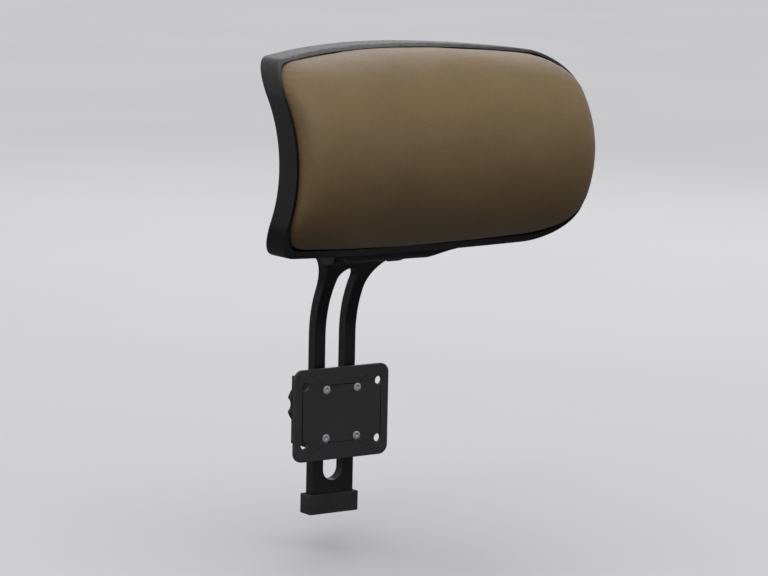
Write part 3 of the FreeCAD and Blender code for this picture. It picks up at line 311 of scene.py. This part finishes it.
def foam_finish():
    made = Finish("seat_foam", (0.66, 0.58, 0.40), roughness=0.95, subsurface_weight=0.1)
    made.vary_colour(made.noise(30.0, 3), 0.9, 1.05)
    pores = made.cells(700.0, "F1")
    made.blend_colour(made.ranged(pores, 0.2, 0.6, 0.0, 0.4), (0.45, 0.36, 0.2))
    made.vary_roughness(made.noise(300.0), 0.88, 0.98)
    made.bump(pores, 0.0003, 0.7)
    return made.material


def plywood_finish():
    made = Finish("plywood", (0.50, 0.34, 0.19), roughness=0.6)
    grain = made.noise(60.0, 5, 0.65, 0.8, places=made.stretched((0.12, 1.0, 1.6)))
    made.vary_colour(grain, 0.72, 1.12)
    made.blend_colour(made.ranged(grain, 0.55, 0.66, 0.0, 0.5), (0.26, 0.15, 0.07))
    made.vary_roughness(made.noise(200.0), 0.5, 0.72)
    made.bump(grain, 0.0001, 0.5)
    return made.material


FINISHES = {
    "cover_leather": leather_finish(),
    "seat_foam": foam_finish(),
    "plywood": plywood_finish(),
    "zinc_steel": metal_finish("zinc_steel", (0.58, 0.59, 0.61), 0.3, (1.0, 0.2, 1.0),
                               (0.52, 0.50, 0.38), 0.4),
    "black_steel": painted_finish("black_steel", (0.016, 0.016, 0.018), 0.42),
    "shell_plastic": plastic_finish("shell_plastic", (0.0085, 0.0085, 0.0095), 0.40, 1900.0, 0.00005),
    "black_nylon": plastic_finish("black_nylon", (0.0085, 0.0085, 0.0095), 0.37, 1500.0, 0.00006, 0.3),
    "knob_plastic": plastic_finish("knob_plastic", (0.02, 0.02, 0.022), 0.5, 1300.0, 0.00007,
                                   0.3, False),
    "cap_plastic": plastic_finish("cap_plastic", (0.012, 0.012, 0.013), 0.24, 900.0, 0.00001,
                                  0.15, False),
    "acetal": plastic_finish("acetal", (0.74, 0.72, 0.66), 0.36, 1400.0, 0.00002, 0.0, False),
    "friction_fibre": rubber_finish("friction_fibre", (0.16, 0.10, 0.055)),
    "bronze_bush": metal_finish("bronze_bush", (0.62, 0.39, 0.18), 0.34, (0.2, 1.0, 1.0),
                                (0.32, 0.17, 0.08), 0.5),
    "spring_steel": metal_finish("spring_steel", (0.36, 0.36, 0.38), 0.38, (1.0, 1.0, 1.0),
                                 (0.2, 0.14, 0.1), 0.3),
    "black_rubber": rubber_finish("black_rubber", (0.02, 0.02, 0.02)),
}

EDGE_SOFTENING = {
    "rear_shell": 0.7 * MM,
    "arm": 0.9 * MM,
    "tilt_bracket": 0.8 * MM,
    "guide_housing": 0.8 * MM,
    "guide_cover": 0.8 * MM,
    "mounting_plate": 0.5 * MM,
    "arm_end_bumper": 1.2 * MM,
    "knob_grip": 0.5 * MM,
    "knob_cap": 0.4 * MM,
    "hinge_cap_left": 0.5 * MM,
    "hinge_cap_right": 0.5 * MM,
}
SMALL_EDGE = 0.2 * MM
SHARP_ANGLE = math.radians(38)
LEFT_PLAIN = ("pad_cover", "pad_foam", "pad_board", "cover_staples")


def soften(piece, width):
    """Rounds the hard edges of a CAD node with modifiers; its own mesh is left as it is."""
    weld = piece.modifiers.new("weld", "WELD")
    weld.merge_threshold = 0.002 * MM
    bevel = piece.modifiers.new("bevel", "BEVEL")
    bevel.width = width
    bevel.segments = 2
    bevel.limit_method = "ANGLE"
    bevel.angle_limit = SHARP_ANGLE
    bevel.use_clamp_overlap = True
    bevel.miter_outer = "MITER_ARC"
    normals = piece.modifiers.new("normals", "WEIGHTED_NORMAL")
    normals.keep_sharp = False
    normals.weight = 80


def dress_cad_nodes():
    for name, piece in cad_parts.items():
        for index, own in enumerate(piece.data.materials):
            finish = own.name.split(".")[0]
            piece.data.materials[index] = FINISHES[finish]
        if name not in LEFT_PLAIN:
            soften(piece, EDGE_SOFTENING.get(name, SMALL_EDGE))


# ------------------------------------------------------------------ leather pad

CURVE_MIDDLE_Z = 219.5 * MM     # the shell's foremost line is at this height
SHELL_CURVE = 90 * MM           # side profile of the shell's rim
SHELL_RIM_Y = -117 * MM         # the rim at that height
PLAN_RADIUS = 440 * MM          # wrap of the rim round the head
PLAN_AXIS_Y = SHELL_RIM_Y - PLAN_RADIUS
EDGE_ARCH = 1150 * MM           # arch of the upper and lower edges, seen from the front
PAD_TOP_CORNER = 24.5 * MM
PAD_LOW_CORNER = 30.5 * MM
PAD_CROWN = 37 * MM             # the pad's middle in front of the rim
PAD_BACK = 17.3 * MM            # how deep the pad and its board sit behind the rim
START_INSET = -0.2 * MM         # inside the CAD cover's outline; below zero it is outside
END_FULLNESS = 4.8              # higher holds the crown further towards the ends
END_STEP = 0.12                 # share of the crown that is left at the very end
SETTLE_CAP = 6 * MM             # the most that the cloth simulation may move a point
VOXEL = 4.5 * MM
RINGS = 26                      # rings from the pad's middle line out to its outline
OUTLINE_STEP = 3 * MM
SIDE_LEVELS = (0.0, 0.33, 0.67)  # shares of the way from the rim to the pad's back
HELD_WITHIN = 1.5 * MM          # the cover is held where it stands less than this in front of the rim
CLOTH_FRAMES = 20
CLOTH = {
    "quality": 6,
    "mass": 0.35,
    "tension_stiffness": 30,
    "compression_stiffness": 30,
    "shear_stiffness": 12,
    "bending_stiffness": 6,
    "air_damping": 2,
    "use_pressure": True,
    "uniform_pressure_force": 4.0,
    "vertex_group_mass": "held",
}
DIMPLES = ((28, 0, 0.35 * MM), (75, 7, 0.12 * MM))      # per metre, shift and depth
TUCKS = 150                     # in one turn round the pad
TUCK_WANDER = 3                 # how far their spacing strays, in radians of one tuck
TUCK_WANDER_SCALE = 40
TUCK_DEPTH = 0.2 * MM
TUCK_AHEAD = 5 * MM             # how far in front of the rim the tucks are deepest
TUCK_REACH = 9 * MM
TUCK_FROM = 95 * MM             # tucks start this far from the middle
TUCK_BLEND = 35 * MM


def rounded_outline(half, low, high, low_corner, top_corner, step):
    """Points round an upright rectangle with rounded corners, in (x, z)."""
    points = []
    corners = [(half, low, low_corner, -90), (half, high, top_corner, 0),
               (-half, high, top_corner, 90), (-half, low, low_corner, 180)]
    arcs = []
    for x, z, radius, start in corners:
        cx = x - math.copysign(radius, x)
        cz = z + radius if z == low else z - radius
        count = max(4, round(radius * math.pi / 2 / step))
        turns = [math.radians(start + 90 * k / count) for k in range(count + 1)]
        arcs.append([(cx + radius * math.cos(turn), cz + radius * math.sin(turn)) for turn in turns])
    for index, arc in enumerate(arcs):
        points += arc
        x0, z0 = arc[-1]
        x1, z1 = arcs[(index + 1) % 4][0]
        length = math.hypot(x1 - x0, z1 - z0)
        count = max(1, round(length / step))
        points += [(x0 + (x1 - x0) * k / count, z0 + (z1 - z0) * k / count) for k in range(1, count)]
    middle, half_height = (low + high) / 2, (high - low) / 2
    return [(x, middle + (z - middle) * (1 - x * x / EDGE_ARCH / 2 / half_height)) for x, z in points]


def rim_y(x, z, offset=0.0):
    """y of the surface that lies offset behind the shell's rim."""
    rise = z - CURVE_MIDDLE_Z
    profile = SHELL_RIM_Y + SHELL_CURVE + offset - math.sqrt(max(0.0, SHELL_CURVE ** 2 - rise ** 2))
    radius = profile - PLAN_AXIS_Y
    return PLAN_AXIS_Y + math.sqrt(radius ** 2 - x ** 2)


def crown(x, z, middle, half, half_height):
    """How far the pad stands in front of the rim: D-shaped from the side, rounded down at both ends."""
    arch = 1 - x * x / EDGE_ARCH / 2 / half_height
    level = min(1.0, abs(z - middle) / arch / half_height)
    corner = PAD_TOP_CORNER if z > middle else PAD_LOW_CORNER
    into_corner = max(0.0, level * half_height - half_height + corner)
    half_here = half - corner + math.sqrt(max(0.0, corner ** 2 - into_corner ** 2))
    rise = z - CURVE_MIDDLE_Z
    lift = PAD_CROWN + SHELL_CURVE - half_height
    bulge = lift + half_height * math.sqrt(1 - level ** 2) - math.sqrt(SHELL_CURVE ** 2 - rise ** 2)
    ends = math.sqrt(1 - min(1.0, abs(x) / half_here) ** END_FULLNESS)
    return max(0.0, bulge) * (END_STEP + (1 - END_STEP) * ends)


def pad_form(name, inset):
    """Closed crowned cushion between the shell's rim and the sitter's head."""
    low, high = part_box("pad_cover")
    half = high.x - inset
    bottom, top = low.z + inset, high.z - inset
    middle = (bottom + top) / 2
    half_height = (top - bottom) / 2
    spine = half - half_height
    edge = rounded_outline(half, bottom, top, PAD_LOW_CORNER - inset, PAD_TOP_CORNER - inset, OUTLINE_STEP)
    vertices, faces = [], []

    def ring(share, place):
        start = len(vertices)
        for x, z in edge:
            core_x = max(-spine, min(spine, x * spine / half))
            px = core_x + (x - core_x) * share
            pz = middle + (z - middle) * share
            vertices.append((px, place(px, pz), pz))
        return start

    def front(x, z):
        return rim_y(x, z) - crown(x, z, middle, half, half_height)

    def behind_rim(part):
        return lambda x, z: rim_y(x, z, PAD_BACK * part)

    shares = [math.sin(math.pi / 2 * k / RINGS) for k in range(RINGS + 1)]
    starts = [ring(share, front) for share in shares]
    starts += [ring(1.0, behind_rim(part)) for part in SIDE_LEVELS]
    starts += [ring(share, behind_rim(1)) for share in reversed(shares)]
    count = len(edge)
    for first, second in zip(starts, starts[1:]):
        for k in range(count):
            n = (k + 1) % count
            faces.append((first + k, second + k, second + n, first + n))
    mesh = bpy.data.meshes.new(name)
    mesh.from_pydata(vertices, [], faces)
    piece = bpy.data.objects.new(name, mesh)
    scene.collection.objects.link(piece)
    return piece


def apply_modifiers(piece):
    scene.view_layers[0].update()
    graph = bpy.context.evaluated_depsgraph_get()
    mesh = bpy.data.meshes.new_from_object(piece.evaluated_get(graph))
    piece.modifiers.clear()
    old = piece.data
    piece.data = mesh
    bpy.data.meshes.remove(old)


def remesh(piece, size):
    weld = piece.modifiers.new("weld", "WELD")
    weld.merge_threshold = 0.02 * MM
    voxels = piece.modifiers.new("voxels", "REMESH")
    voxels.mode = "VOXEL"
    voxels.voxel_size = size
    apply_modifiers(piece)


def settle(piece):
    """Cloth under pressure, held where the pad sits in the shell; it moves the cover by 0.2 mm at most."""
    start = [v.co.copy() for v in piece.data.vertices]
    held = piece.vertex_groups.new(name="held")
    for v in piece.data.vertices:
        if rim_y(v.co.x, v.co.z) - v.co.y < HELD_WITHIN:
            held.add([v.index], 1.0, "REPLACE")
    cloth = piece.modifiers.new("cloth", "CLOTH")
    for key, value in CLOTH.items():
        setattr(cloth.settings, key, value)
    cloth.settings.effector_weights.gravity = 0
    cloth.collision_settings.use_collision = False
    cloth.point_cache.frame_start = 1
    cloth.point_cache.frame_end = CLOTH_FRAMES
    for frame_number in range(1, CLOTH_FRAMES + 1):
        scene.frame_set(frame_number)
    graph = bpy.context.evaluated_depsgraph_get()
    settled = piece.evaluated_get(graph).data
    ends = [v.co.copy() for v in settled.vertices]
    piece.modifiers.clear()
    scene.frame_set(1)
    for v, before, after in zip(piece.data.vertices, start, ends):
        move = after - before
        if move.length > SETTLE_CAP:
            move = move.normalized() * SETTLE_CAP
        v.co = before + move


def add_relief(piece):
    """Leather relief in the mesh: soft dimples, and small tucks where the cover goes into the shell."""
    normals = [v.normal.copy() for v in piece.data.vertices]
    for v, normal in zip(piece.data.vertices, normals):
        x, y, z = v.co
        ahead = rim_y(x, z) - y
        soft = sum(noise.noise(Vector((x * scale + shift, y * scale, z * scale))) * depth
                   for scale, shift, depth in DIMPLES)
        near_edge = max(0.0, 1 - abs(ahead - TUCK_AHEAD) / TUCK_REACH)
        near_end = max(0.0, min(1.0, (abs(x) - TUCK_FROM) / TUCK_BLEND))
        turn = math.atan2(z - CURVE_MIDDLE_Z, x)
        wander = TUCK_WANDER * noise.noise(Vector((x * TUCK_WANDER_SCALE, 3, z * TUCK_WANDER_SCALE)))
        tuck = math.sin(turn * TUCKS + wander) * TUCK_DEPTH * near_edge * near_end
        v.co += normal * (soft + tuck)


def build_pad():
    piece = pad_form("leather_pad", START_INSET)
    remesh(piece, VOXEL)
    settle(piece)
    smooth = piece.modifiers.new("smooth", "SMOOTH")
    smooth.factor = 0.5
    smooth.iterations = 4
    finer = piece.modifiers.new("finer", "SUBSURF")
    finer.levels = finer.render_levels = 1
    apply_modifiers(piece)
    add_relief(piece)
    piece.data.materials.clear()
    piece.data.materials.append(FINISHES["cover_leather"])
    piece.data.polygons.foreach_set("use_smooth", [True] * len(piece.data.polygons))
    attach(piece, "headrest")
    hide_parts("pad_cover", "pad_foam")


add_camera()
add_studio()
dress_cad_nodes()
build_pad()
